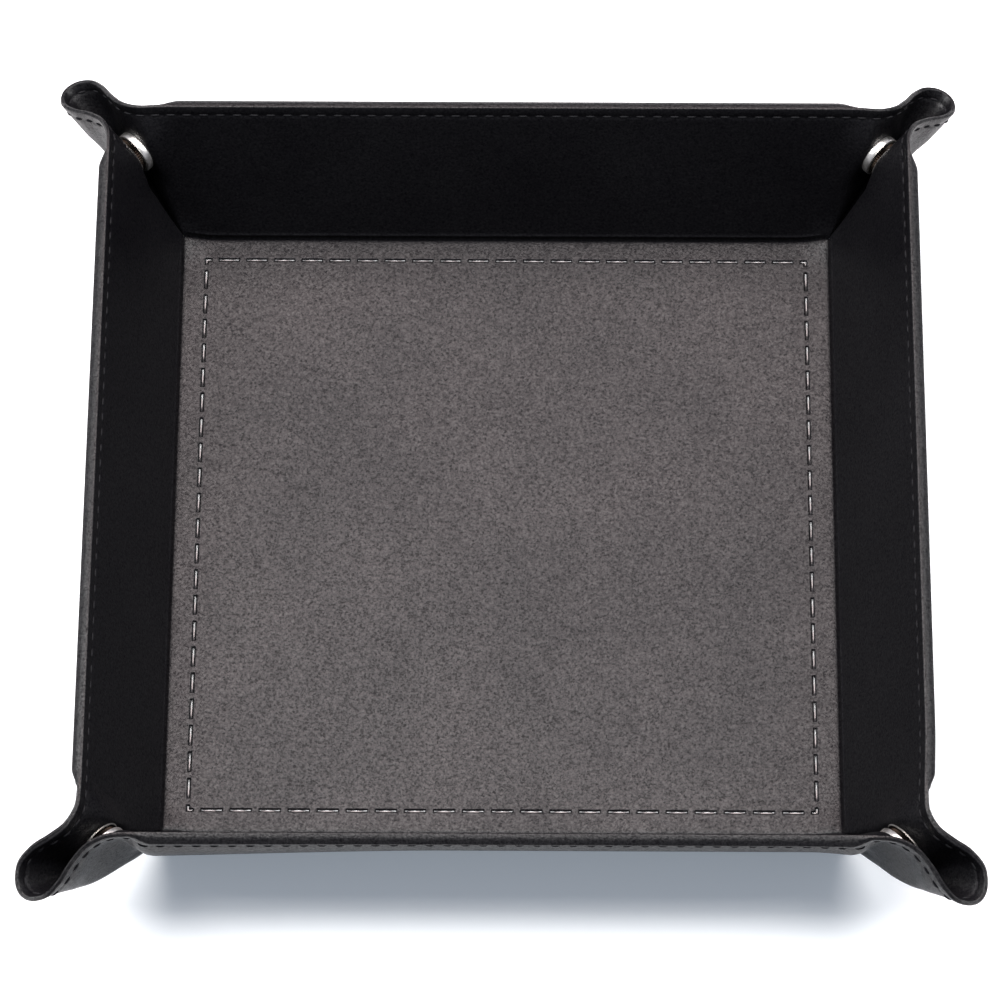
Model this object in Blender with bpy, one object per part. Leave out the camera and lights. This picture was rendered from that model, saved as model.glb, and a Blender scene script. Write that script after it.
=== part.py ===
"""A folding dice tray, snapped up into its tray shape.

One square of two leathers, glued face to face, holds a stiff board under the floor and one in each wall.
Each bare leather corner is pinched into a spout-like ear, which a snap fastener holds shut from inside.
Metres, +Z up. The origin is at the middle of the underside, on the table.
"""

from math import cos, pi, radians, sin, sqrt

import bmesh
import bpy
from mathutils import Matrix, Vector

# Driving dimensions
FLOOR_SIDE = 0.169            # between the folds at two opposite walls
WALL_WIDTH = 0.0425           # from a fold up to the rim, along the wall
WALL_LEAN = radians(24)       # how far a wall leans outward from upright
LEATHER = 0.0007              # one leather
BOARD = 0.00095               # one board
GLUE = 0.00015                # between a board and the leather on either side of it
EAR_THICKNESS = 0.0016        # both leathers of an ear, stuck together
GAP = 0.00015                 # half of the clearance between two neighbouring pieces
BOARD_MARGIN = 0.0015         # leather left bare between a board and a fold
RIM_HEM = 0.0008              # height of the turned edge along the rim
BOARD_CORNER = 0.003          # corner radius of a board
FLOOR_CORNER = 0.0035         # corner radius of the floor's leather panels, where the ears start
SNAP_OUT = 0.0178             # snap centre from the floor's corner, outward along the diagonal
SNAP_UP = 0.0245              # and above the floor
SNAP_SPACE = 0.00145          # from the diagonal plane to the back of a snap half's flange
SNAP_DEPTH = 0.0013           # from the back of the flange to the middle of its backing plate
FLANGE_RADIUS = 0.0062
FLANGE = 0.0005               # flange thickness
PLATE_RADIUS = 0.0032
PLATE = 0.0003                # thickness of the plate that backs a snap half, inside the leather
POST_RADIUS = 0.0015

# The rim of one half of an ear, from the end of its wall to the tip: outward, sideways and up from the
# floor's corner. The first point is on the wall's own rim, and the last is on the diagonal plane.
WALL_TOP = (WALL_WIDTH * sin(WALL_LEAN) / sqrt(2), WALL_WIDTH * cos(WALL_LEAN))
EAR_RIM = [
    Vector((WALL_TOP[0], WALL_TOP[0], WALL_TOP[1])),
    Vector((0.0167, 0.0078, 0.0388)),
    Vector((0.0208, 0.0045, 0.03845)),
    Vector((0.0258, 0.0029, 0.0376)),
    Vector((0.0312, 0.0033, 0.0362)),
    Vector((0.0364, 0.0044, 0.0343)),
    Vector((0.0410, 0.0040, 0.0325)),
    Vector((0.0436, 0.0, 0.0312)),
]
EAR_START = 0.14              # share of the way from the floor's corner to the rim where an ear starts
LIP_START = 0.36              # and the same for its folded lip
RIM_STEPS = 200               # equal steps along an ear's rim
BEND = 66                     # the step where the wall's gusset ends and the ear's side starts
SNAP_RAY = 100                # the step above the snap, where an opened ear lies truly flat
TURN = 184                    # the step where the ear's side ends and its folded lip starts

THICKNESS = 2 * LEATHER + BOARD + 2 * GLUE
FOLD = pi / 2 - WALL_LEAN     # how far a wall is folded up from flat
WALLS = {"right": 0.0, "back": pi / 2, "left": pi, "front": 3 * pi / 2}
CORNERS = {
    "back_right": pi / 4,
    "back_left": 3 * pi / 4,
    "front_left": 5 * pi / 4,
    "front_right": 7 * pi / 4,
}
TURNED_SIDES = 32


def clear_scene():
    for obj in list(bpy.data.objects):
        bpy.data.objects.remove(obj)


def material(name, colour, roughness, metallic=0.0):
    made = bpy.data.materials.new(name)
    made.use_nodes = True
    made.diffuse_color = (*colour, 1)
    shader = made.node_tree.nodes["Principled BSDF"]
    shader.inputs["Base Color"].default_value = (*colour, 1)
    shader.inputs["Roughness"].default_value = roughness
    shader.inputs["Metallic"].default_value = metallic
    return made


def add(name, mesh, finish):
    obj = bpy.data.objects.new(name, mesh)
    bpy.context.scene.collection.objects.link(obj)
    if mesh is not None and not mesh.materials:
        mesh.materials.append(finish)
    return obj


def fit(obj, parent, world):
    """Puts an object at a world matrix, on a parent."""
    bpy.context.view_layer.update()
    obj.parent = parent
    if parent is not None:
        obj.matrix_parent_inverse = parent.matrix_world.inverted()
    obj.matrix_basis = world
    return obj


def empty(name, parent, world):
    """An empty on a joint's axis."""
    obj = add(name, None, None)
    obj.empty_display_size = 0.01
    return fit(obj, parent, world)


def finish_mesh(name, bm, smooth_angle=30):
    bmesh.ops.recalc_face_normals(bm, faces=bm.faces)
    mesh = bpy.data.meshes.new(name)
    bm.to_mesh(mesh)
    bm.free()
    mesh.shade_smooth()
    mesh.set_sharp_from_angle(angle=radians(smooth_angle))
    return mesh


def slab(name, outline, low, high):
    """A flat outline in X and Y, filled from one height to another."""
    bm = bmesh.new()
    base = bm.faces.new([bm.verts.new((x, y, low)) for x, y in outline])
    grown = bmesh.ops.extrude_face_region(bm, geom=[base])
    top = [v for v in grown["geom"] if isinstance(v, bmesh.types.BMVert)]
    bmesh.ops.translate(bm, verts=top, vec=(0, 0, high - low))
    return finish_mesh(name, bm)


def rounded(low, high, radius, steps=4):
    """A rectangle's outline from its low corner to its high corner, with round corners."""
    left, right = low[0] + radius, high[0] - radius
    near, far = low[1] + radius, high[1] - radius
    centres = [(right, far), (left, far), (left, near), (right, near)]
    points = []
    for quarter, (cx, cy) in enumerate(centres):
        for step in range(steps + 1):
            turn = (quarter + step / steps) * pi / 2
            points.append((cx + radius * cos(turn), cy + radius * sin(turn)))
    return points


def rectangle(low, high):
    return [low, (high[0], low[1]), high, (low[0], high[1])]


def turned(name, profile, sides=TURNED_SIDES):
    """A solid of revolution about Z. The profile is (radius, height) points."""
    bm = bmesh.new()
    rings = []
    for radius, height in profile:
        count = sides if radius > 0 else 1
        turns = [2 * pi * k / count for k in range(count)]
        rings.append([bm.verts.new((radius * cos(t), radius * sin(t), height)) for t in turns])
    closed = profile[0][0] > 0 and profile[-1][0] > 0
    pairs = list(zip(rings, rings[1:])) + ([(rings[-1], rings[0])] if closed else [])
    for a, b in pairs:
        for k in range(sides):
            corners = [a[k % len(a)], a[(k + 1) % len(a)], b[(k + 1) % len(b)], b[k % len(b)]]
            bm.faces.new(list(dict.fromkeys(corners)))
    return finish_mesh(name, bm, 40)


def rim_curve(points, steps):
    """Points along a smooth curve through an ear's rim, equal steps apart, and its direction at each.
    It leaves its wall in the wall's own plane, and crosses the diagonal plane squarely."""
    slopes = [(b - a) / 2 for a, b in zip(points, points[2:])]
    first = Vector((1, -1, 0)).normalized() * (points[1] - points[0]).length
    last = Vector((0, -1, 0)) * (points[-1] - points[-2]).length * 1.2
    slopes = [first, *slopes, last]
    fine = []
    for a, b, out, into in zip(points, points[1:], slopes, slopes[1:]):
        for k in range(40):
            t = k / 40
            fine.append(
                a * (2 * t**3 - 3 * t**2 + 1) + out * (t**3 - 2 * t**2 + t)
                + b * (3 * t**2 - 2 * t**3) + into * (t**3 - t**2)
            )
    fine.append(points[-1])
    along = [0.0]
    for a, b in zip(fine, fine[1:]):
        along.append(along[-1] + (b - a).length)
    found, i = [], 0
    for k in range(steps + 1):
        target = along[-1] * k / steps
        while i < len(fine) - 2 and along[i + 1] < target:
            i += 1
        share = (target - along[i]) / (along[i + 1] - along[i])
        found.append((fine[i].lerp(fine[i + 1], share), (fine[i + 1] - fine[i]).normalized()))
    return found


RIM = rim_curve(EAR_RIM, RIM_STEPS)


def leather_frame(along, across):
    """A rotation whose X is along a ray of the leather, Y across it to the tip, and Z square to both."""
    x = along.normalized()
    y = (across - x * across.dot(x)).normalized()
    return Matrix((x, y, x.cross(y))).transposed()


def opened(step):
    """The rotation about the floor's corner that lays one ray of a half ear flat, in its place."""
    spans = [a[0].angle(b[0]) for a, b in zip(RIM, RIM[1:])]
    left = (1 - sum(spans[:step]) / sum(spans)) * pi / 4
    flat = leather_frame(Vector((cos(left), sin(left), 0)), Vector((sin(left), -cos(left), 0)))
    return flat @ leather_frame(*RIM[step]).transposed()


def hinge_line(inner, outer):
    """The axis and angle, in the pinched ear, of the turn between two of its bodies as it is opened."""
    axis, angle = (inner.transposed() @ outer).to_quaternion().to_axis_angle()
    return axis.normalized(), angle


WALL_OPENED = Matrix.Rotation(FOLD, 3, Vector((-1, 1, 0)))
BEND_LINE = hinge_line(WALL_OPENED, opened(SNAP_RAY))
TURN_LINE = hinge_line(opened(SNAP_RAY), opened(RIM_STEPS))


def ear_shell(name, side, first, last, start, every, rows=5):
    """A curved strip of an ear's leather between two steps of its rim: the cone of straight lines from the
    floor's corner, with its inner face towards the diagonal plane. side is 1 or -1, the side of that plane.
    Where it meets a lip, it is cut back on the outside, so that the two close up square when opened."""
    bm = bmesh.new()
    columns = sorted({*range(first, last + 1, every), last})
    layers = []
    for out in (0, EAR_THICKNESS):
        grid = []
        for i in columns:
            top, along = RIM[i]
            normal = top.cross(along).normalized()
            nudge = along * (GAP if i == first else -GAP if i == last else 0)
            line = []
            for j in range(rows + 1):
                reach = start + (1 - start) * j / rows
                line.append(bm.verts.new(top * reach + normal * out + nudge))
            grid.append(line)
        layers.append(grid)
    inner, outer = layers
    count = len(columns)
    for grid in layers:
        for i in range(count - 1):
            for j in range(rows):
                bm.faces.new([grid[i][j], grid[i + 1][j], grid[i + 1][j + 1], grid[i][j + 1]])
    for i in range(count - 1):
        for j in (0, rows):
            bm.faces.new([inner[i][j], inner[i + 1][j], outer[i + 1][j], outer[i][j]])
    for j in range(rows):
        for i in (0, count - 1):
            bm.faces.new([inner[i][j], inner[i][j + 1], outer[i][j + 1], outer[i][j]])
    if TURN in (first, last):
        mitre(bm, 1 if first == TURN else -1)
    bmesh.ops.transform(bm, matrix=Matrix.Diagonal((1, side, 1, 1)), verts=bm.verts)
    bmesh.ops.triangulate(bm, faces=bm.faces)
    return finish_mesh(name, bm)


def mitre(bm, way):
    """Cuts half of the lip's turn off a strip that ends at its hinge line. way is 1 at the lip's start."""
    axis, angle = TURN_LINE
    normal = RIM[TURN][0].cross(RIM[TURN][1]).normalized()
    across = normal.cross(axis).normalized()
    across *= 1 if across.dot(RIM[TURN][1]) > 0 else -1
    lean = abs(angle) / 2 + radians(1)
    off = across * cos(lean) * way - normal * sin(lean)
    found = bmesh.ops.bisect_plane(
        bm,
        geom=[*bm.verts, *bm.edges, *bm.faces],
        plane_co=off * GAP,
        plane_no=off,
        clear_inner=True,
        dist=1e-7,
    )
    cut_edges = [e for e in found["geom_cut"] if isinstance(e, bmesh.types.BMEdge)]
    bmesh.ops.holes_fill(bm, edges=cut_edges)


def hemmed_cover(name, half_length):
    """The outer leather of a wall: a sheet behind the board, its edge turned over the rim to the inside."""
    bm = bmesh.new()
    back = THICKNESS - LEATHER
    hem = WALL_WIDTH - RIM_HEM
    section = [
        (GAP, back), (hem, back), (hem, 0),
        (WALL_WIDTH, 0), (WALL_WIDTH, THICKNESS), (GAP, THICKNESS),
    ]
    ends = [[bm.verts.new((x, y, z)) for y, z in section] for x in (-half_length, half_length)]
    bm.faces.new(ends[0])
    bm.faces.new(ends[1])
    for k in range(len(section)):
        n = (k + 1) % len(section)
        bm.faces.new([ends[0][k], ends[0][n], ends[1][n], ends[1][k]])
    return finish_mesh(name, bm)


def build_floor(leather, lining, board):
    """The floor stays put: outer leather on the table, then its board, then the inner leather."""
    half = FLOOR_SIDE / 2
    edge = half - GAP
    inset = half - BOARD_MARGIN
    low = LEATHER + GLUE
    outline = rounded((-edge, -edge), (edge, edge), FLOOR_CORNER)
    stiffener = rounded((-inset, -inset), (inset, inset), BOARD_CORNER)
    add("floor_cover", slab("floor_cover", outline, 0, LEATHER), leather)
    add("floor_board", slab("floor_board", stiffener, low, low + BOARD), board)
    add("floor_liner", slab("floor_liner", outline, low + BOARD + GLUE, THICKNESS), lining)


def wall_frame(angle):
    """A wall's frame on its fold: X along the fold, Y up the wall, Z out of its back from its inner face."""
    outward = Vector((cos(angle), sin(angle), 0))
    place = Matrix.Translation(outward * FLOOR_SIDE / 2 + Vector((0, 0, THICKNESS)))
    return place @ Matrix.Rotation(angle + pi / 2, 4, "Z") @ Matrix.Rotation(pi - FOLD, 4, "X")


def build_walls(leather, lining, board):
    """Four walls, each on an empty on its fold. Returns the empties."""
    half = FLOOR_SIDE / 2
    end = half - GAP
    board_end = half - BOARD_CORNER / 2
    hem = WALL_WIDTH - RIM_HEM
    liner = slab("wall_liner", rectangle((-end, GAP), (end, hem - GAP)), 0, LEATHER)
    stiffener = slab(
        "wall_board",
        rounded((-board_end, BOARD_MARGIN), (board_end, hem - GAP), BOARD_CORNER),
        LEATHER + GLUE,
        LEATHER + GLUE + BOARD,
    )
    cover = hemmed_cover("wall_cover", end)
    folds = {}
    for wall, angle in WALLS.items():
        place = wall_frame(angle)
        fold = empty(f"{wall}_fold", None, place)
        fit(add(f"{wall}_wall_liner", liner, lining), fold, place)
        fit(add(f"{wall}_wall_board", stiffener, board), fold, place)
        fit(add(f"{wall}_wall_cover", cover, leather), fold, place)
        folds[wall] = fold
    return folds


def corner_frame(angle):
    """An ear's frame at the floor's corner: X outward along the diagonal, Z up, its halves at Y and -Y."""
    outward = Vector((cos(angle), sin(angle), 0))
    place = Matrix.Translation(outward * FLOOR_SIDE / sqrt(2) + Vector((0, 0, THICKNESS)))
    return place @ Matrix.Rotation(angle, 4, "Z")


def wall_at(angle):
    """The wall whose outward direction is at this angle."""
    return min(WALLS, key=lambda w: 1 - cos(WALLS[w] - angle))


def snap_meshes():
    """The snap's turned pieces, each about Z, the back of its flange at height 0 and its front upward."""
    plate_top = PLATE / 2 - SNAP_DEPTH
    post = plate_top + GAP
    edge = FLANGE_RADIUS - 0.0004
    face = GAP + FLANGE
    reach = 2 * SNAP_SPACE
    flange = [
        (0.0, post), (POST_RADIUS, post), (POST_RADIUS, GAP),
        (edge, GAP), (FLANGE_RADIUS, GAP + FLANGE / 2), (edge, face),
    ]
    socket = turned("snap_socket", flange + [
        (0.0046, face), (0.0044, reach - 0.0010), (0.0040, reach - 0.0008), (0.0029, reach - 0.0008),
        (0.0025, reach - 0.0011), (0.0029, reach - 0.0015), (0.0029, face - 0.0002), (0.0, face - 0.0002),
    ])
    stud = turned("snap_stud", flange + [
        (0.0028, face), (0.0020, face + 0.0003), (0.0020, face + 0.0008), (0.0023, face + 0.0011),
        (0.0023, face + 0.0013), (0.0017, reach - 0.0007), (0.0, reach - 0.0007),
    ])
    plate_back = plate_top - PLATE
    plate = turned("snap_plate", [
        (0.0, plate_back), (PLATE_RADIUS, plate_back), (PLATE_RADIUS, plate_top), (0.0, plate_top),
    ])
    wide, narrow = PLATE_RADIUS + GAP, POST_RADIUS + 2 * GAP
    room = turned("snap_room", [
        (0.0, plate_back - GAP), (wide, plate_back - GAP), (wide, plate_top + GAP),
        (narrow, plate_top + GAP), (narrow, 0.002), (0.0, 0.002),
    ])
    return socket, stud, plate, room


def snap_place(side):
    """A snap half's place in its ear's frame, its axis square to the diagonal plane."""
    place = Matrix.Translation((SNAP_OUT, side * SNAP_SPACE, SNAP_UP))
    return place @ Matrix.Rotation(side * pi / 2, 4, "X")


def cut(obj, cutter):
    modifier = obj.modifiers.new("room_for_snap", "BOOLEAN")
    modifier.operation = "DIFFERENCE"
    modifier.solver = "EXACT"
    modifier.object = cutter


def hinge_empty(name, parent, corner, side, line):
    """An empty at the floor's corner whose Z is the hinge line of one half ear."""
    axis = Vector((line[0].x, line[0].y * side, line[0].z))
    obj = empty(name, parent, corner @ axis.to_track_quat("Z", "Y").to_matrix().to_4x4())
    obj["opens_by"] = line[1]
    return obj


def build_ears(folds, leather, metal):
    """Four ears. Each half has a gusset fixed to its wall, a side that carries a snap half, and a lip."""
    shells = {}
    for side in (1, -1):
        shells[side] = (
            ear_shell("ear_gusset", side, 0, BEND, EAR_START, 12),
            ear_shell("ear_side", side, BEND, TURN, EAR_START, 8),
            ear_shell("ear_lip", side, TURN, RIM_STEPS, LIP_START, 3),
        )
    socket, stud, plate, room = snap_meshes()
    for corner, angle in CORNERS.items():
        place = corner_frame(angle)
        for side in (1, -1):
            wall = wall_at(angle + side * pi / 4)
            if wall in ("front", "back"):
                kind, half, half_mesh = "end", "socket", socket
            else:
                kind, half, half_mesh = "side", "stud", stud
            name = f"{corner}_ear_{kind}"
            gusset, panel, lip = shells[side]
            hinge = hinge_empty(f"{name}_hinge", folds[wall], place, side, BEND_LINE)
            crease = hinge_empty(f"{name}_lip_hinge", hinge, place, side, TURN_LINE)
            fit(add(f"{name}_gusset", gusset, leather), folds[wall], place)
            ear = fit(add(f"{name}_leather", panel, leather), hinge, place)
            fit(add(f"{name}_lip", lip, leather), crease, place)
            snap = place @ snap_place(side)
            cutter = fit(add(f"{name}_snap_room", room, metal), hinge, snap)
            cutter.hide_render = True
            cutter.display_type = "WIRE"
            cut(ear, cutter)
            fit(add(f"{corner}_snap_{half}", half_mesh, metal), hinge, snap)
            fit(add(f"{corner}_snap_{kind}_plate", plate, metal), hinge, snap)


def main():
    clear_scene()
    leather = material("outer_leather", (0.012, 0.012, 0.014), 0.45)
    lining = material("inner_leather", (0.014, 0.013, 0.015), 0.45)
    board = material("grey_board", (0.25, 0.22, 0.18), 0.9)
    metal = material("nickel", (0.75, 0.72, 0.66), 0.2, 1.0)
    build_floor(leather, lining, board)
    folds = build_walls(leather, lining, board)
    build_ears(folds, leather, metal)


main()
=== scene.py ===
"""The looks of a folding dice tray: black grained leather over boards, sewn round the rim, with a line
pressed into the floor, and four corners pinched into ears by snap fasteners. Metres, in the part's frame."""

from math import cos, exp, pi, radians, sin, sqrt

import bmesh
import bpy
import numpy as np
from mathutils import Matrix, Vector


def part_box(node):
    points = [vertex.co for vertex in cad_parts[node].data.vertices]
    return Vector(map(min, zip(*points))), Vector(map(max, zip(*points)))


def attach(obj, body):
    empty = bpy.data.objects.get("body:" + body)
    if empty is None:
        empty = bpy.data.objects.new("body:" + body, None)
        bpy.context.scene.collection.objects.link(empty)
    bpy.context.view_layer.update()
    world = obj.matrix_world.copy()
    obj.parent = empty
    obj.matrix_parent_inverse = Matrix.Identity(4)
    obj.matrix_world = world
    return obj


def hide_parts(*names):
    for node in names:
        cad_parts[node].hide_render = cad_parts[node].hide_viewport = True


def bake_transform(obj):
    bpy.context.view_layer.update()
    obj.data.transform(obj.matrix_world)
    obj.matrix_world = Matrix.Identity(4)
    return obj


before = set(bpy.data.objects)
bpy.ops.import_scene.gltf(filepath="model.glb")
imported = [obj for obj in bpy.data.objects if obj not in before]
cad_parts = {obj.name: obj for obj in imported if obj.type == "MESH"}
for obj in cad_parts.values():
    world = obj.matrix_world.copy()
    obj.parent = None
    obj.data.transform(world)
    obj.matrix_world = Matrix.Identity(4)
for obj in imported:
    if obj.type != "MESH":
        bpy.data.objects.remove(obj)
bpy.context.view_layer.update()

# Sizes taken from the frame
GAP = 0.00015                                              # half of the clearance between two CAD panels
FLOOR_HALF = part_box("floor_liner")[1][0] + GAP             # from the middle to a wall's fold
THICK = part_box("floor_liner")[1][2]                        # leather, board and leather
WALL_LEAN = radians(24)
LINER_END = 0.0009                                         # a wall's liner ends this far below its rim
WALL_WIDTH = (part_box("front_wall_liner")[1][2] - THICK) / cos(WALL_LEAN) + LINER_END

# The leather
EAR_THICK = 0.00125                                        # leather and leather, pressed thin, with no board
HEM = 0.0003                                               # how much thicker a wall is for its turned hem
SWELL = 0.0012                                             # how far its slack back stands out below the seam
ABOVE_FOLD = (0.002, 0.014)                                # both grow between these heights above the fold
BELOW_RIM = (0.0020, 0.0078)                               # and the slack grows between these below the rim
RIM_CORNER = 0.0004                                        # radius of the rim's two long corners
RIM_CROWN = 0.00020                                        # how far its middle stands up
FLOOR_TRIM = 0.0024                                        # the floor's piece ends this far inside a fold
GROOVE = 0.00026                                           # how far the floor's edge rolls down to the fold
GROOVE_WIDTH = 0.0004                                      # and it rolls down within about this
HOLLOW = 0.0004                                            # the leather's sag between the boards at a fold
HOLLOW_START = 0.0002                                      # and it eases off from here up to the board
HOLLOW_FADE = 0.005                                        # and over this much at the fold's ends
BOARD_FOOT = 0.0014                                        # a wall's board starts this far up from the fold
FOOT_RIDGE = 0.00020                                       # the leather over its edge stands out this much
RIDGE_WIDTH = 0.00036
BACK_BEND = 0.0012                                         # and on the table, the back's reaches this far
BOARD_END = 0.0018                                         # a wall's board ends this far past the fold's end
BOARD_FADE = 0.0042                                        # the leather closes over its edge within this
BOARD_CORNER = 0.004                                       # radius of the board's top corners
SLACK_FADE = 0.015                                         # the back's slack fades over this much of an ear

# The ears: the rim of one half of an ear, as in the CAD, outward, sideways and up from the floor's corner
WALL_TOP = (WALL_WIDTH * sin(WALL_LEAN) / sqrt(2), WALL_WIDTH * cos(WALL_LEAN))
EAR_RIM = [
    (WALL_TOP[0], WALL_TOP[0], WALL_TOP[1]),
    (0.0167, 0.0078, 0.0388),
    (0.0208, 0.0045, 0.03845),
    (0.0258, 0.0029, 0.0376),
    (0.0312, 0.0033, 0.0362),
    (0.0364, 0.0044, 0.0343),
    (0.0410, 0.0040, 0.0325),
    (0.0436, 0.0, 0.0312),
]
RIM_STEPS = 200
SNAP_RAY = 100                                             # the rim's step above the snap
SNAP_OUT, SNAP_UP = 0.0178, 0.0232                         # snap centre, in the same terms
SNAP_BACK = 0.0018                                         # from the diagonal plane to the leather it sits on
SNAP_SEAT = 0.0056                                         # radius of the leather that it presses flat
SNAP_PULL = 0.0085                                         # width of the leather drawn in round that
SNAP_START = 50                                            # the rim's step where that pull is whole
SNAP_CLEAR = 0.00005                                       # between a flange and the leather
SNAP_RADIUS = 0.0062
SNAP_SIDES = 192
SNAP_RIBS = 48                                             # ribs round the stud's collar

# The sewing
STITCH_INSET = 0.0028                                      # from the rim down to the seam
STITCH_PITCH = 0.0043
STITCH_LENGTH = 0.0026
STITCH_RADIUS = 0.00032
SEAM_DIP = 0.00016                                         # how far the stitches pull the leather in
SEAM_WIDTH = 0.0005                                        # and about how far to each side

# The line pressed into the floor
LINE_HALF = 0.0783                                         # from the middle to each of its four sides
DASH_WIDTH = 0.00088
DASH_PITCH = 0.00724
DASH_GAP = 0.0018
DASH_DEPTH = 0.00042
CORNER_ARM = 0.0018
DASHES_END = LINE_HALF + DASH_WIDTH / 2 - CORNER_ARM - DASH_GAP
DASH_COUNT = round(2 * DASHES_END / DASH_PITCH)
DASH_STEP = (2 * DASHES_END + DASH_GAP) / DASH_COUNT       # the pitch at which whole dashes fill a side

# How the photographed tray differs from a regular one. A reach is measured outward from the floor's corner
FRONT_LIFT = 0.026                                         # the front wall's shift inward, per unit height
RIGHT_SPREAD = 0.030                                       # the right wall's shift outward, per unit height
SHIFT_START = (0.055, 0.084)                               # both grow between these, outward from the middle
RIGHT_START = (-0.105, -0.070)                             # and the right wall's from front to back
EAR_BOW = {                                                # the front ears bow out, from one reach to another
    "front_left": (0.0024, -0.045, 0.035), "front_right": (0.0020, 0.004, 0.020),
}
BOW_END = (0.024, 0.042)                                   # and the bow fades out between these
TIP_START = (0.013, 0.042)                                 # a tip's shift grows between these
TIP_SETTLE = {                                             # that shift, outward and upward
    "back_left": (-0.0020, -0.0034), "back_right": (-0.0022, -0.0052),
    "front_left": (0.0, 0.0017), "front_right": (0.0, 0.0017),
}
SPOUT_OPEN = 0.0019                                        # the front ears' side halves stand this much wider
SPOUT_START, SPOUT_LENGTH = 0.018, 0.029                   # from this reach, for this far
SPOUT_FADE = 0.006                                         # growing within this much of the diagonal
PUCKER_RISE = 0.0016                                       # the leather's rise at the floor's corners
PUCKER_REACH = 0.0050

WALLS = {"right": 0.0, "back": pi / 2, "left": pi, "front": 3 * pi / 2}
CORNERS = {"back_right": pi / 4, "back_left": 3 * pi / 4, "front_left": 5 * pi / 4, "front_right": 7 * pi / 4}


# Numbers and curves

def smooth(x, low=0.0, high=1.0):
    """0 below low, 1 above high, and a smooth rise between."""
    t = np.clip((np.asarray(x, float) - low) / (high - low), 0, 1)
    return t * t * (3 - 2 * t)


def unsmooth(y):
    """The share of the way across at which smooth() has risen to y."""
    return 0.5 - np.sin(np.arcsin(1 - 2 * np.clip(y, 0, 1)) / 3)


def unit(v):
    v = np.asarray(v, float)
    return v / np.linalg.norm(v, axis=-1, keepdims=True)


def turned_z(angle):
    """Numpy rotation about Z."""
    return np.array([[cos(angle), -sin(angle), 0], [sin(angle), cos(angle), 0], [0, 0, 1]])


def rim_curve(points, steps):
    """Points along a smooth curve through an ear's rim, equal steps apart, its direction at each, and its
    length. It leaves its wall in the wall's own plane, and crosses the diagonal plane squarely."""
    points = np.array(points)
    lengths = np.linalg.norm(np.diff(points, axis=0), axis=1)
    slopes = np.vstack([
        unit([1, -1, 0]) * lengths[0],
        (points[2:] - points[:-2]) / 2,
        np.array([0, -1, 0]) * lengths[-1] * 1.2,
    ])
    t = np.linspace(0, 1, 41)[:-1, None]
    fine = []
    for a, b, out, into in zip(points, points[1:], slopes, slopes[1:]):
        fine.append(
            a * (2 * t**3 - 3 * t**2 + 1) + out * (t**3 - 2 * t**2 + t)
            + b * (3 * t**2 - 2 * t**3) + into * (t**3 - t**2)
        )
    fine = np.vstack([*fine, points[-1]])
    along = np.concatenate([[0], np.cumsum(np.linalg.norm(np.diff(fine, axis=0), axis=1))])
    even = np.linspace(0, along[-1], steps + 1)
    rim = np.stack([np.interp(even, along, fine[:, k]) for k in range(3)], axis=1)
    ways = unit(np.gradient(rim, axis=0))
    ways[-1] = (0, -1, 0)
    return rim, ways, along[-1]


RIM, RIM_WAY, EAR_RIM_LENGTH = rim_curve(EAR_RIM, RIM_STEPS)
RIM_WAY[0] = unit([1, -1, 0])
RIM_REACH = np.linalg.norm(RIM, axis=1)
RAY = unit(RIM)
RAY_WAY = unit(RIM_WAY - RAY * (RIM_WAY * RAY).sum(1, keepdims=True))
RAY_NORMAL = np.cross(RAY, RAY_WAY)
RAY_ANGLE = np.concatenate([[0], np.cumsum(np.arccos(np.clip((RAY[1:] * RAY[:-1]).sum(1), -1, 1)))])


def turning(first, last):
    """How far the leather has turned at each ray between two rays, from 0 to 1."""
    turn = [0.0]
    for i in range(first, last):
        turn.append(turn[-1] + np.cross(RAY_NORMAL[i], RAY_NORMAL[i + 1]) @ RAY[i])
    return np.clip(np.array(turn) / turn[-1], 0, 1)


# Meshes

def mesh_object(name, points, faces, finishes, face_finish=None, sharp=38):
    """A smooth mesh, with its edges kept sharp where they turn by more than sharp degrees. face_finish says
    which of the finishes each face has."""
    mesh = bpy.data.meshes.new(name)
    mesh.from_pydata([tuple(p) for p in points], [], faces)
    bm = bmesh.new()
    bm.from_mesh(mesh)
    bmesh.ops.recalc_face_normals(bm, faces=bm.faces)
    bm.to_mesh(mesh)
    bm.free()
    for finish in finishes:
        mesh.materials.append(finish)
    if face_finish is not None:
        mesh.polygons.foreach_set("material_index", face_finish)
    mesh.shade_smooth()
    mesh.set_sharp_from_angle(angle=radians(sharp))
    obj = bpy.data.objects.new(name, mesh)
    bpy.context.scene.collection.objects.link(obj)
    return obj


def loft(name, sections, finishes):
    """A closed body through closed sections of equally many points, with a flat cap on each end."""
    sections = np.asarray(sections)
    count, size = sections.shape[:2]
    points = sections.reshape(-1, 3)
    faces = []
    for i in range(count - 1):
        for j in range(size):
            k = (j + 1) % size
            faces.append((i * size + j, i * size + k, (i + 1) * size + k, (i + 1) * size + j))
    faces.append(tuple(range(size)))
    faces.append(tuple(range((count - 1) * size, count * size)))
    return mesh_object(name, points, faces, finishes)


# Leather stations, up from the fold: the same on a wall and on an ear, so that they meet point for point
SEAM_AT = WALL_WIDTH - STITCH_INSET
STATIONS = np.concatenate([
    [0.00004, 0.0003, 0.0006, 0.0009, 0.0012, 0.0014, 0.0016, 0.0019, 0.0023, 0.0028, 0.0036, 0.0047, 0.006],
    np.arange(0.008, SEAM_AT - 0.0016, 0.0013),
    SEAM_AT + np.array([-0.0011, -0.0007, -0.00035, 0, 0.00035, 0.0007, 0.0012]),
])


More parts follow.
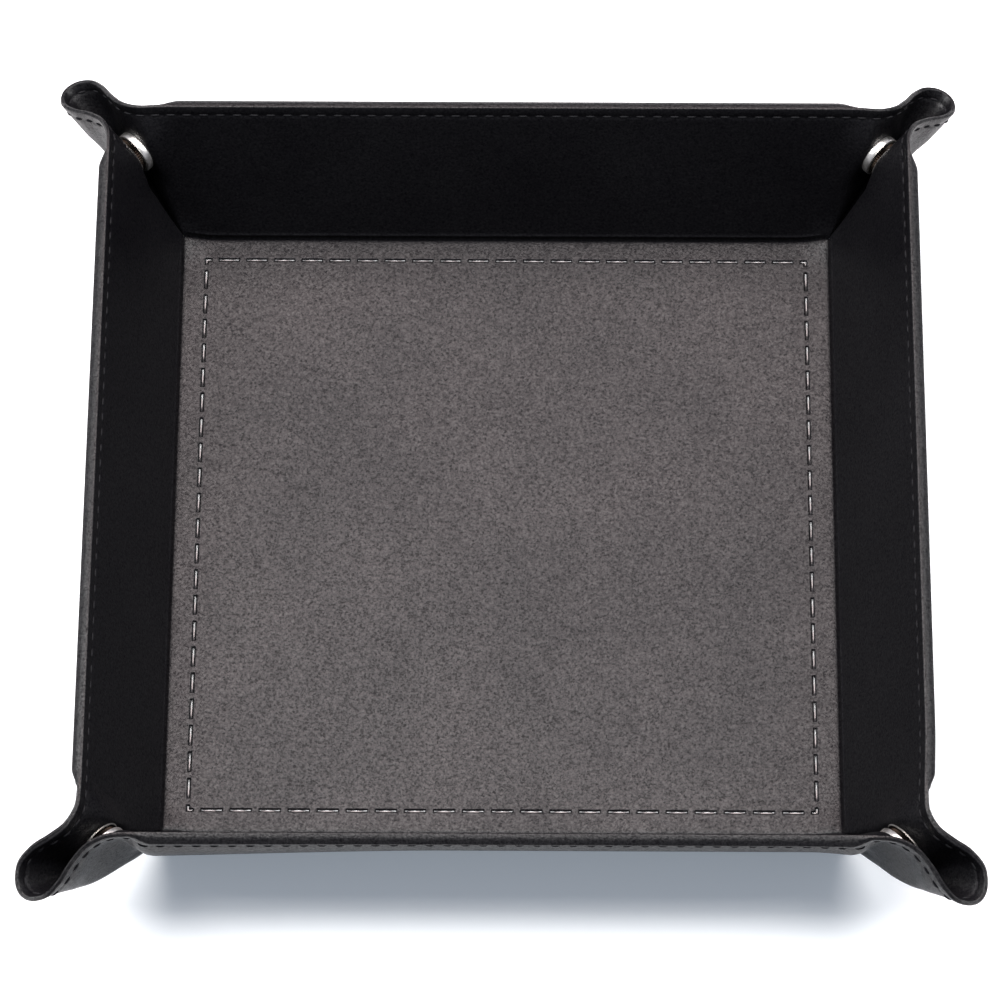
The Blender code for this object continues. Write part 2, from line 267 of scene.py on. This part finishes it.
def groove(up, share):
    """How far a wall's inner face lies back: in the hollow along its fold, less on its board's edge, and at
    the seam. share is how much of the hollow there is."""
    ridge = FOOT_RIDGE * np.exp(-(((up - BOARD_FOOT) / RIDGE_WIDTH) ** 2))
    return share * (HOLLOW * (1 - smooth(up, HOLLOW_START, BOARD_FOOT)) - ridge) + seam_dip(up)


def seam_dip(up):
    """How far the stitches pull a face in."""
    return SEAM_DIP * np.exp(-(((up - SEAM_AT) / SEAM_WIDTH) ** 2))


def rim_round(thick):
    """The rounded rim of a sheet, inside to outside: (up from the rim, back from the inner face) points."""
    turns = np.linspace(0, pi / 2, 4)
    inside = [(RIM_CORNER * (sin(t) - 1), RIM_CORNER * (1 - cos(t))) for t in turns]
    outside = [(up, thick - back) for up, back in reversed(inside)]
    flat = thick - 2 * RIM_CORNER
    middle = [(RIM_CROWN * sin(pi * s), RIM_CORNER + flat * s) for s in (0.25, 0.5, 0.75)]
    return inside + middle + outside


def hem(up):
    """How much the turned hem thickens a wall, less near the fold."""
    return HEM * smooth(up, *ABOVE_FOLD)


def slack(up):
    """How far the slack leather on a wall's back stands out, between the fold and the seam."""
    return SWELL * smooth(WALL_WIDTH - up, *BELOW_RIM) * smooth(up, *ABOVE_FOLD)


def as_it_lies(points):
    """Moves points of a regular tray to where the photographed one has them: its front wall more upright,
    its right wall less, its ears bowed, opened and settled at their tips, and its leather puckered up where
    the ears start."""
    points = np.array(points, float)
    x, y, z = points.T
    height = z - THICK
    arch = np.sin(pi * np.clip(height / WALL_TOP[1], 0, 1))
    front = smooth(-y, *SHIFT_START)
    right = smooth(x, *SHIFT_START) * smooth(y, *RIGHT_START)
    moved = points.copy()
    moved[:, 1] += FRONT_LIFT * np.maximum(0, height) * front
    moved[:, 0] += RIGHT_SPREAD * np.maximum(0, height) * right
    for corner, angle in CORNERS.items():
        outward = np.array([cos(angle), sin(angle), 0])
        apex = outward * FLOOR_HALF * sqrt(2) + np.array([0, 0, THICK])
        reach = (points - apex) @ outward
        out, up = TIP_SETTLE[corner]
        moved += smooth(reach, *TIP_START)[:, None] * (outward * out + np.array([0, 0, up]))
        if corner in EAR_BOW:
            size, start, end = EAR_BOW[corner]
            moved[:, 1] -= size * arch * smooth(reach, start, end) * (1 - smooth(reach, *BOW_END))
            sideways = (points - apex) @ np.array([outward[0], -outward[1], 0])
            along = np.clip((reach - SPOUT_START) / SPOUT_LENGTH, 0, 1)
            moved[:, 1] += SPOUT_OPEN * smooth(sideways, 0, SPOUT_FADE) * np.sin(pi * along)
        near = np.exp(-((np.linalg.norm(points - apex, axis=1) / PUCKER_REACH) ** 2))
        moved[:, 2] += PUCKER_RISE * near
    return moved


def wall_section(share):
    """The closed section of a wall and of the border of the floor below it: (out from the fold, up from the
    table) points. share is how much of the hollow it has."""
    lean_up = np.array([sin(WALL_LEAN), cos(WALL_LEAN)])
    lean_out = np.array([cos(WALL_LEAN), -sin(WALL_LEAN)])
    fold = np.array([0.0, THICK])
    points = []
    for inside in (FLOOR_TRIM, 0.0019, 0.0014, 0.0010, 0.0007, 0.0004, 0.0002):
        points.append((-inside, THICK - GROOVE * exp(-inside / GROOVE_WIDTH)))
    points.append((share * HOLLOW / 2, THICK - GROOVE - share * HOLLOW / 2))
    for up in STATIONS:
        points.append(fold + lean_up * up + lean_out * groove(up, share))
    for up, back in rim_round(THICK + float(hem(WALL_WIDTH))):
        points.append(fold + lean_up * (WALL_WIDTH + up) + lean_out * back)
    for up in reversed(STATIONS):
        points.append(fold + lean_up * up + lean_out * (THICK + hem(up) + slack(up) - seam_dip(up)))
    start = fold + lean_up * STATIONS[0] + lean_out * THICK
    bend = np.array([BACK_BEND, 0.0])
    for t in np.linspace(0, 1, 7)[1:]:
        points.append(start * (1 - t) ** 2 + bend * 2 * t * (1 - t) - bend * t**2)
    points.append((-FLOOR_TRIM, 0.0))
    return np.array(points)


def ear_points(step, up, back):
    """Points of a half ear's leather, in its corner's frame with the half on the positive side. up is the
    height above the fold on the wall beside it, and back is how far behind the inner face."""
    up, back = np.asarray(up, float), np.asarray(back, float)
    reach = RIM_REACH[step]
    square = 1 / max(1e-6, np.linalg.norm(np.cross(RAY[step], RIM_WAY[step])))
    near_rim = smooth(up, 0.5 * WALL_WIDTH, 0.9 * WALL_WIDTH)
    share = (1 - near_rim) * reach / WALL_WIDTH + near_rim * square
    r = reach - (WALL_WIDTH - up) * share
    points = r[:, None] * RAY[step] + back[:, None] * RAY_NORMAL[step]
    return seated(points, back, smooth(step, 0, SNAP_START))


def seated(points, back, share):
    """Draws the leather in to the snap's flange, which holds it flat and square to the diagonal. share fades
    the pull out at the wall's end."""
    away = np.hypot(points[:, 0] - SNAP_OUT, points[:, 2] - SNAP_UP)
    pull = share * (1 - smooth(away, SNAP_SEAT, SNAP_SEAT + SNAP_PULL))
    points[:, 1] += (SNAP_BACK + back - points[:, 1]) * pull
    return points


def ear_thickness(step, up):
    """The leather is thick where the wall's board runs a little way into it, and slack some way beyond."""
    past = RIM_REACH[step] * RAY_ANGLE[step] * (up / WALL_WIDTH)
    rounding = np.maximum(0, BOARD_CORNER - (WALL_WIDTH - up)) ** 2 / (2 * BOARD_CORNER)
    board = 1 - smooth(past, BOARD_END - rounding, BOARD_END + BOARD_FADE)
    loose = 1 - smooth(past, 0, SLACK_FADE)
    return EAR_THICK + (THICK + hem(up) - EAR_THICK) * board + slack(up) * loose


def ear_section(step):
    """The section of a half ear along one of its rays, point for point like a wall's above its fold."""
    inner = ear_points(step, STATIONS, seam_dip(STATIONS))
    rim_thick = float(ear_thickness(step, np.array([WALL_WIDTH]))[0])
    rim = np.array(rim_round(rim_thick))
    top = ear_points(step, WALL_WIDTH + rim[:, 0], rim[:, 1])
    outer_up = STATIONS[::-1]
    outer = ear_points(step, outer_up, ear_thickness(step, outer_up) - seam_dip(outer_up))
    return np.vstack([inner, top, outer])


def corner_place(angle, side):
    """(rotation with the half's side in it, translation) from an ear's own frame to the tray's."""
    turn = turned_z(angle) @ np.diag([1.0, side, 1.0])
    return turn, np.array([cos(angle), sin(angle), 0]) * FLOOR_HALF * sqrt(2) + np.array([0, 0, THICK])


def wall_place(angle):
    """(rotation, translation) from (along the fold, out, up) to the tray's frame."""
    return turned_z(angle - pi / 2), np.array([cos(angle), sin(angle), 0]) * FLOOR_HALF


def placed(points, place):
    """Points of an ear's or a wall's own frame, in the photographed tray."""
    turn, shift = place
    return as_it_lies(np.asarray(points) @ turn.T + shift)


def bend_between(obj, shares):
    points = [v.co.copy() for v in obj.data.vertices]
    for vertex, share in zip(obj.data.vertices, unsmooth(shares)):
        vertex.co = (share, 0, 0)
    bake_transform(obj)
    for vertex, point in zip(obj.data.vertices, points):
        vertex.co = point


# Stitches

def stitches(name, lines, sides=6):
    """One small rounded thread for each (middle, direction, normal, 1 if it's on the back) along a seam."""
    points, faces, finish = [], [], []
    profile = [(-0.5, 0.25), (-0.42, 0.75), (-0.2, 1.0), (0.2, 1.0), (0.42, 0.75), (0.5, 0.25)]
    for middle, way, normal, behind in lines:
        across = np.cross(way, normal)
        radius = STITCH_RADIUS * (1.25 if behind else 1)
        base = len(points)
        for share, size in profile:
            sink = radius * (0.25 - 0.9 * (2 * share) ** 4)
            centre = middle + way * share * STITCH_LENGTH + normal * sink
            for k in range(sides):
                turn = 2 * pi * k / sides
                points.append(centre + radius * size * (cos(turn) * across + 0.8 * sin(turn) * normal))
        for i in range(len(profile) - 1):
            for k in range(sides):
                a, b = base + i * sides + k, base + i * sides + (k + 1) % sides
                faces.append((a, b, b + sides, a + sides))
        faces.append(tuple(base + k for k in range(sides)))
        faces.append(tuple(base + (len(profile) - 1) * sides + k for k in range(sides)))
        finish += [behind] * (len(faces) - len(finish))
    return mesh_object(name, as_it_lies(points), faces, [THREAD, BACK_THREAD], finish, sharp=80)


# Materials

def new_material(name):
    made = bpy.data.materials.new(name)
    made.use_nodes = True
    return made, made.node_tree.nodes, made.node_tree.links, made.node_tree.nodes["Principled BSDF"]


def node(nodes, kind, **inputs):
    made = nodes.new(kind)
    for key, value in inputs.items():
        made.inputs[key.replace("_", " ")].default_value = value
    return made


def ramp(nodes, links, source, stops):
    made = nodes.new("ShaderNodeValToRGB")
    elements = made.color_ramp.elements
    while len(elements) < len(stops):
        elements.new(0.5)
    for element, (position, colour) in zip(elements, stops):
        element.position = position
        element.color = (*colour, 1)
    links.new(source, made.inputs["Fac"])
    return made.outputs["Color"]


def spanned(nodes, links, texture, low, high):
    """A noise texture's middle range spread over low to high."""
    made = nodes.new("ShaderNodeMapRange")
    for key, value in (("From Min", 0.3), ("From Max", 0.7), ("To Min", low), ("To Max", high)):
        made.inputs[key].default_value = value
    links.new(texture.outputs["Fac"], made.inputs["Value"])
    return made.outputs["Result"]


def leather(name, dark, light, roughness, grain=1.0, specular=0.5):
    """Grained leather: fine short creases between pebbles, and patches that shine a little more. The bottom
    of a crease is shaded, so it shines less."""
    made, nodes, links, shader = new_material(name)
    place = nodes.new("ShaderNodeTexCoord").outputs["Object"]
    creases = node(nodes, "ShaderNodeTexNoise", Scale=1700, Detail=2.0, Roughness=0.55, Distortion=0.6)
    links.new(place, creases.inputs["Vector"])
    pebbles = node(nodes, "ShaderNodeTexNoise", Scale=420, Detail=2.0, Roughness=0.6)
    links.new(place, pebbles.inputs["Vector"])
    patches = node(nodes, "ShaderNodeTexNoise", Scale=22, Detail=4.0, Roughness=0.6)
    links.new(place, patches.inputs["Vector"])
    colour = ramp(nodes, links, patches.outputs["Fac"], [(0.3, dark), (0.7, light)])
    links.new(colour, shader.inputs["Base Color"])
    spread = 0.05 * min(1, grain)
    sheen = spanned(nodes, links, patches, roughness - spread, roughness + spread)
    links.new(sheen, shader.inputs["Roughness"])
    shaded = spanned(nodes, links, creases, specular * (1 - 0.65 * grain), specular * (1 + 0.65 * grain))
    links.new(shaded, shader.inputs["Specular IOR Level"])
    normal = None
    for texture, strength, distance in ((pebbles, 0.35, 0.00020), (creases, 0.7, 0.00012)):
        bump = node(nodes, "ShaderNodeBump", Strength=strength * grain, Distance=distance)
        links.new(texture.outputs["Fac"], bump.inputs["Height"])
        if normal is not None:
            links.new(normal, bump.inputs["Normal"])
        normal = bump.outputs["Normal"]
    links.new(normal, shader.inputs["Normal"])
    return made


def thread(name, specular):
    """Twisted black polyester thread."""
    made, nodes, links, shader = new_material(name)
    place = nodes.new("ShaderNodeTexCoord").outputs["Object"]
    twist = node(nodes, "ShaderNodeTexWave", Scale=1600, Distortion=2.5)
    links.new(place, twist.inputs["Vector"])
    stops = [(0.2, (0.004, 0.004, 0.005)), (0.8, (0.012, 0.012, 0.014))]
    links.new(ramp(nodes, links, twist.outputs["Fac"], stops), shader.inputs["Base Color"])
    shader.inputs["Roughness"].default_value = 0.6
    shader.inputs["Specular IOR Level"].default_value = specular
    bump = node(nodes, "ShaderNodeBump", Strength=0.6, Distance=0.00008)
    links.new(twist.outputs["Fac"], bump.inputs["Height"])
    links.new(bump.outputs["Normal"], shader.inputs["Normal"])
    return made


def nickel(name, colour, roughness):
    """Nickel plate with faint turning marks and a little haze."""
    made, nodes, links, shader = new_material(name)
    place = nodes.new("ShaderNodeTexCoord").outputs["Object"]
    haze = node(nodes, "ShaderNodeTexNoise", Scale=700, Detail=4.0)
    links.new(place, haze.inputs["Vector"])
    stops = [(0.35, tuple(0.82 * c for c in colour)), (0.6, colour)]
    links.new(ramp(nodes, links, haze.outputs["Fac"], stops), shader.inputs["Base Color"])
    rough = nodes.new("ShaderNodeMapRange")
    rough.inputs["To Min"].default_value = roughness * 0.7
    rough.inputs["To Max"].default_value = roughness * 1.5
    links.new(haze.outputs["Fac"], rough.inputs["Value"])
    links.new(rough.outputs["Result"], shader.inputs["Roughness"])
    shader.inputs["Metallic"].default_value = 1.0
    bump = node(nodes, "ShaderNodeBump", Strength=0.15, Distance=0.00005)
    links.new(haze.outputs["Fac"], bump.inputs["Height"])
    links.new(bump.outputs["Normal"], shader.inputs["Normal"])
    return made


LEATHER = leather("leather", (0.0016, 0.0015, 0.0022), (0.0024, 0.0023, 0.0031), 0.44, specular=0.26)
PRESSED = leather("pressed_leather", (0.006, 0.006, 0.006), (0.008, 0.008, 0.008), 0.21, 0.1, 1.0)
THREAD = thread("seam_thread", 0.15)
BACK_THREAD = thread("seam_thread_behind", 0.02)
NICKEL = nickel("nickel_plate", (0.96, 0.94, 0.90), 0.32)
# Near-black nickel for the stud's collar: painted shade for the gap between the socket and the stud.
NICKEL_IN_GAP_SHADE = nickel("nickel_painted_gap_shade", (0.012, 0.009, 0.007), 0.35)


# The floor

def dash_depth(a, b):
    """How deep the pressed line is at a point that is a from the middle across it, and b along it. Its dashes
    stop short of the corners, where two arms meet in an L."""
    out = np.abs(a - LINE_HALF)
    along = np.mod(b + DASHES_END + DASH_GAP / 2, DASH_STEP)
    inside = np.minimum(along - DASH_GAP / 2, DASH_STEP - DASH_GAP / 2 - along)
    inside = np.where(b > DASHES_END, b - DASHES_END - DASH_GAP, inside)
    inside = np.minimum(inside, LINE_HALF + DASH_WIDTH / 2 - b)
    inside = np.minimum(inside, DASH_WIDTH / 2 - out)
    return DASH_DEPTH * smooth(inside, -0.00012, 0.00022)


def floor_lines():
    """Grid lines for the floor's upper face, close together wherever the pressed line starts or ends."""
    edges = [LINE_HALF - DASH_WIDTH / 2, LINE_HALF + DASH_WIDTH / 2, DASHES_END + DASH_GAP]
    starts = [k * DASH_STEP - DASHES_END for k in range(DASH_COUNT + 1)]
    edges += [start for start in starts[:-1] if start > 0]
    edges += [start - DASH_GAP for start in starts[1:] if start - DASH_GAP > 0]
    lines = {0.0, FLOOR_HALF - FLOOR_TRIM}
    for edge in edges:
        lines.update(edge + d for d in (-0.00013, 0.0, 0.00011, 0.00023) if edge + d > 0)
        lines.update(edge - d for d in (0.00011, 0.00023) if edge - d > 0)
    lines = sorted(lines)
    lines = [a for a, b in zip(lines, [*lines[1:], 1]) if b - a > 0.00005]
    return np.array([-v for v in reversed(lines) if v > 0] + lines)


def build_floor():
    """The floor inside the walls' borders: one block with the line pressed into its upper face."""
    lines = floor_lines()
    size = len(lines)
    x, y = np.meshgrid(lines, lines, indexing="ij")
    a, b = np.maximum(abs(x), abs(y)), np.minimum(abs(x), abs(y))
    z = THICK - dash_depth(a, b)
    points = list(zip(x.ravel(), y.ravel(), z.ravel()))
    faces = []
    for i in range(size - 1):
        for j in range(size - 1):
            faces.append((i * size + j, (i + 1) * size + j, (i + 1) * size + j + 1, i * size + j + 1))
    ring = [i * size for i in range(size)] + [(size - 1) * size + j for j in range(1, size)]
    ring += [i * size + size - 1 for i in range(size - 2, -1, -1)] + [j for j in range(size - 2, 0, -1)]
    base = len(points)
    points += [(points[i][0], points[i][1], 0.0) for i in ring]
    for k, top in enumerate(ring):
        n = (k + 1) % len(ring)
        faces.append((top, ring[n], base + n, base + k))
    faces.append(tuple(base + k for k in range(len(ring))))
    finish = [int(z.ravel()[list(face)].max() < THICK - 0.8 * DASH_DEPTH) for face in faces[:(size - 1) ** 2]]
    finish += [0] * (len(faces) - len(finish))
    floor = mesh_object("tray_floor", as_it_lies(points), faces, [LEATHER, PRESSED], finish, sharp=60)
    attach(floor, "floor")
    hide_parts("floor_liner", "floor_board", "floor_cover")


# The walls

WALL_CELLS = 66                                            # from one end of a wall to the other


def wall_seam(place):
    """A wall's stitches, on both faces: (middle, direction, normal, 1 if it's on the back)."""
    turn, shift = place
    up = np.array([0, sin(WALL_LEAN), cos(WALL_LEAN)])
    back = np.array([0, cos(WALL_LEAN), -sin(WALL_LEAN)])
    thick = THICK + hem(SEAM_AT) + slack(SEAM_AT)
    count = round(2 * FLOOR_HALF / STITCH_PITCH)
    lines = []
    for k in range(count):
        along = (k + 0.5 - count / 2) * 2 * FLOOR_HALF / count
        for behind, depth in enumerate((SEAM_DIP, thick - SEAM_DIP)):
            middle = turn @ (np.array([along, 0, THICK]) + up * SEAM_AT + back * depth) + shift
            lines.append((middle, turn @ np.array([1.0, 0, 0]), turn @ back * (2 * behind - 1), behind))
    return lines


def build_walls():
    """Each wall with its border of the floor and its seam. Its columns are closer together near its ends,
    where the hollow along its fold fades out."""
    main_part, end_part = wall_section(1), wall_section(0)
    inside = np.maximum(0, -end_part[:, 0])
    even = np.linspace(-1, 1, WALL_CELLS + 1)
    columns = np.sign(even) * (1 - (1 - abs(even)) ** 1.25)
    for wall, angle in WALLS.items():
        place = wall_place(angle)
        sections = []
        for share in columns:
            along = share * (FLOOR_HALF - inside)
            near_end = 1 - smooth((1 - abs(share)) * FLOOR_HALF, 0, HOLLOW_FADE)
            section = main_part * (1 - near_end) + end_part * near_end
            sections.append(placed(np.stack([along, section[:, 0], section[:, 1]], 1), place))
        piece = loft(f"{wall}_wall", sections, [LEATHER])
        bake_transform(piece)
        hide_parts(f"{wall}_wall_liner", f"{wall}_wall_board", f"{wall}_wall_cover")
        sewn = stitches(f"{wall}_wall_stitches", wall_seam(place))
        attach(sewn, f"{wall}_wall")


# The ears

def ear_seam(place, first, last):
    """Stitches of a half ear between two steps of its rim, on both faces: (lines, the step of each)."""
    count = round(EAR_RIM_LENGTH / STITCH_PITCH)
    lines, steps = [], []
    turn = place[0]
    for k in range(count):
        step = round((k + 0.5) * RIM_STEPS / count)
        if not first <= step < last:
            continue
        near = [max(0, step - 3), min(RIM_STEPS, step + 3)]
        for behind in (0, 1):
            ends = []
            for s in (near[0], step, near[1]):
                depth = ear_thickness(s, np.array([SEAM_AT])) - SEAM_DIP if behind else np.array([SEAM_DIP])
                ends.append(ear_points(s, np.array([SEAM_AT]), depth)[0])
            way = turn @ unit(ends[2] - ends[0])
            normal = turn @ RAY_NORMAL[step] * (2 * behind - 1)
            normal = unit(normal - way * (normal @ way))
            lines.append((turn @ ends[1] + place[1], way, normal, behind))
            steps.append(step)
    return lines, steps


def build_half_ear(corner, kind, angle, side, wall):
    """One half of an ear: a piece that bends out of the wall to the snap, and one from there to the tip."""
    place = corner_place(angle, side)
    middle = f"{corner}_ear_{kind}"
    spans = [
        ("bend", 0, SNAP_RAY, f"{wall}_wall", middle),
        ("tip", SNAP_RAY, RIM_STEPS, middle, f"{middle}_lip"),
    ]
    for word, first, last, inner, outer in spans:
        columns = range(first, last + 1, 2)
        shares = turning(first, last)
        sections = [placed(ear_section(i), place) for i in columns]
        piece = loft(f"{corner}_ear_{kind}_{word}", sections, [LEATHER])
        size = len(sections[0])
        bend_between(piece, np.repeat([shares[i - first] for i in columns], size))
        if word == "bend":
            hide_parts(f"{corner}_ear_{kind}_gusset", f"{corner}_snap_{kind}_plate")
        else:
            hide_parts(f"{corner}_ear_{kind}_leather", f"{corner}_ear_{kind}_lip")
        lines, steps = ear_seam(place, first, last)
        sewn = stitches(f"{corner}_ear_{kind}_{word}_stitches", lines)
        each = len(sewn.data.vertices) // len(lines)
        bend_between(sewn, np.repeat([shares[i - first] for i in steps], each))


def build_ears():
    for corner, angle in CORNERS.items():
        for side in (1, -1):
            wall = min(WALLS, key=lambda w: 1 - cos(WALLS[w] - angle - side * pi / 4))
            kind = "end" if wall in ("front", "back") else "side"
            build_half_ear(corner, kind, angle, side, wall)
        build_snap(corner, angle)


# The snaps

def turned(name, profile, place, ribbed=(), dark=()):
    """A closed solid of revolution about an ear's sideways axis through its snap. The profile is (radius,
    sideways) points from axis to axis. A point whose number is in ribbed has fine ribs round it, and the band
    after one in dark gets near-black nickel: painted shade for the gap between the socket and the stud."""
    points, faces, rows, finish = [], [], [], []
    for number, (radius, across) in enumerate(profile):
        count = SNAP_SIDES if radius > 0 else 1
        rows.append([len(points) + k for k in range(count)])
        for k in range(count):
            turn = 2 * pi * k / count
            r = radius * (1 - 0.045 * (0.5 - 0.5 * cos(SNAP_RIBS * turn))) if number in ribbed else radius
            points.append((SNAP_OUT + r * cos(turn), across, SNAP_UP + r * sin(turn)))
    for number, (a, b) in enumerate(zip(rows, rows[1:])):
        for k in range(SNAP_SIDES):
            n = (k + 1) % SNAP_SIDES
            faces.append(tuple(dict.fromkeys((a[k % len(a)], a[n % len(a)], b[n % len(b)], b[k % len(b)]))))
        finish += [int(number in dark)] * SNAP_SIDES
    return mesh_object(name, placed(points, place), faces, [NICKEL, NICKEL_IN_GAP_SHADE], finish, sharp=30)


def build_snap(corner, angle):
    """A snap's socket, on the ear's end half, and its stud, on the side half, closed on each other."""
    wall_side = 1 if corner in ("back_right", "front_left") else -1
    place = corner_place(angle, wall_side)
    back = SNAP_BACK + SNAP_CLEAR
    edge = SNAP_RADIUS - 0.00028
    socket = turned(f"{corner}_socket", [
        (0, back), (edge, back), (SNAP_RADIUS - 0.00008, back - 0.0001), (SNAP_RADIUS, back - 0.0003),
        (SNAP_RADIUS, 0.0002), (SNAP_RADIUS - 0.00008, 0.00002), (edge, -0.0001), (0.0037, -0.0001),
        (0.0034, 0.0001), (0.0030, 0.0003), (0.0028, 0.0007), (0.0030, 0.0011), (0, 0.0011),
    ], place)
    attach(socket, f"{corner}_ear_end")
    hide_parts(f"{corner}_snap_socket")
    # The stud's collar, the bands in dark, is painted near black as the shade in the gap between socket and
    # stud.
    stud = turned(f"{corner}_stud", [
        (0, -back), (edge - 0.0002, -back), (SNAP_RADIUS - 0.0002, 0.00022 - back),
        (edge - 0.0002, 0.00044 - back), (0.0053, 0.0005 - back), (0.0053, -0.0003), (0.0050, -0.00018),
        (0.0042, -0.00018), (0.0040, 0.0006 - back), (0.0021, 0.0006 - back), (0.0021, -0.0001),
        (0.0024, 0.0002), (0.0024, 0.0005), (0.0017, 0.0009), (0, 0.0009),
    ], place, ribbed=(4, 5), dark=(3, 4, 5, 6, 7, 8))
    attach(stud, f"{corner}_ear_side")
    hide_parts(f"{corner}_snap_stud")


# The studio

def softbox(name, size, energy, colour, location):
    """A square lamp turned towards the tray."""
    light = bpy.data.lights.new(name, "AREA")
    light.size = size
    light.energy = energy
    light.color = colour
    lamp = bpy.data.objects.new(name, light)
    lamp.location = location
    lamp.rotation_euler = (-lamp.location).to_track_quat("-Z", "Y").to_euler()
    bpy.context.scene.collection.objects.link(lamp)


def build_studio():
    """A white table that glows a little, and lamps at the sides, above and behind."""
    mesh = bpy.data.meshes.new("studio_floor")
    mesh.from_pydata([(-6, -6, 0), (6, -6, 0), (6, 6, 0), (-6, 6, 0)], [], [(0, 1, 2, 3)])
    floor = bpy.data.objects.new("studio_floor", mesh)
    bpy.context.scene.collection.objects.link(floor)
    pale, nodes, links, shader = new_material("lit_white")
    shader.inputs["Base Color"].default_value = (0.9, 0.9, 0.9, 1)
    shader.inputs["Roughness"].default_value = 0.9
    shader.inputs["Emission Color"].default_value = (0.15, 0.18, 0.21, 1)
    shader.inputs["Emission Strength"].default_value = 1.0
    mesh.materials.append(pale)
    world = bpy.data.worlds.new("studio")
    bpy.context.scene.world = world
    world.use_nodes = True
    sky = world.node_tree.nodes["Background"]
    sky.inputs["Color"].default_value = (0.86, 0.88, 1, 1)
    sky.inputs["Strength"].default_value = 0.34
    softbox("left_softbox", 0.9, 33.0, (1, 1, 1), (-1.05, 0.24, 1.35))
    softbox("right_softbox", 0.9, 22.0, (1, 1, 1), (1.05, 0.24, 1.35))
    softbox("top_softbox", 0.35, 10.0, (1, 1, 1), (0, 0.09, 1.5))
    softbox("rear_softbox", 1.0, 31.0, (1, 0.85, 0.84), (-0.03, 0.85, 1.55))
    bpy.context.scene.view_settings.view_transform = "Standard"


CAMERA_LENS = 198.1                                        # on a 36 mm sensor
CAMERA_DISTANCE = 1.4087
CAMERA_ELEVATION = radians(63.421)
CAMERA_YAW = radians(-0.698)
CAMERA_ROLL = radians(-0.376)
CAMERA_TARGET = Vector((-0.00113, 0.00833, THICK))


def build_camera():
    """The photograph's view: from in front and well above, with a long lens."""
    camera = bpy.data.cameras.new("camera")
    camera.lens = CAMERA_LENS
    camera.sensor_width = 36
    camera.clip_start = 0.05
    holder = bpy.data.objects.new("camera", camera)
    bpy.context.scene.collection.objects.link(holder)
    flat = Vector((sin(CAMERA_YAW), cos(CAMERA_YAW), 0))
    forward = flat * cos(CAMERA_ELEVATION) - Vector((0, 0, sin(CAMERA_ELEVATION)))
    right = Vector((cos(CAMERA_YAW), -sin(CAMERA_YAW), 0))
    up = right.cross(forward)
    turned_right = right * cos(CAMERA_ROLL) + up * sin(CAMERA_ROLL)
    turned_up = up * cos(CAMERA_ROLL) - right * sin(CAMERA_ROLL)
    axes = Matrix((turned_right, turned_up, -forward)).transposed().to_4x4()
    holder.matrix_world = Matrix.Translation(CAMERA_TARGET - forward * CAMERA_DISTANCE) @ axes
    bpy.context.scene.camera = holder


build_floor()
build_walls()
build_ears()
build_studio()
build_camera()

bpy.context.view_layer.update()
